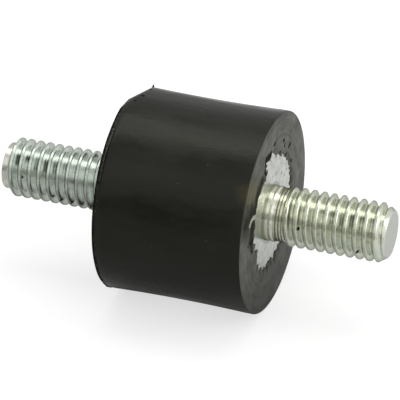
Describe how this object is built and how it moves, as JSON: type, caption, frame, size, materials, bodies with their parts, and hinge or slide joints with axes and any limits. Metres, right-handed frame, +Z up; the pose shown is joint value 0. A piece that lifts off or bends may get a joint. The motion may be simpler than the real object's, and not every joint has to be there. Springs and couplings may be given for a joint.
{
  "type": "radiator mount",
  "caption": "Cylindrical rubber mount bonded to steel end plates, with a threaded stud on its axis at either end, for carrying a radiator clear of vibration.",
  "frame": {"origin": "middle of the rubber, on the stud axis", "axes": "+X along the stud axis towards the near stud, +Z up with the mount lying on the side of its rubber"},
  "size_m": [0.0398, 0.0202, 0.0202],
  "materials": {
    "rubber": "moulded, satin, with ground end faces",
    "plate_zinc": "zinc plated, dull",
    "stud_zinc": "zinc plated, bright"
  },
  "bodies": {
    "root": {"rubber_body": "rubber", "near_plate": "plate_zinc", "near_stud": "stud_zinc", "far_plate": "plate_zinc", "far_stud": "stud_zinc"}
  },
  "joints": []
}
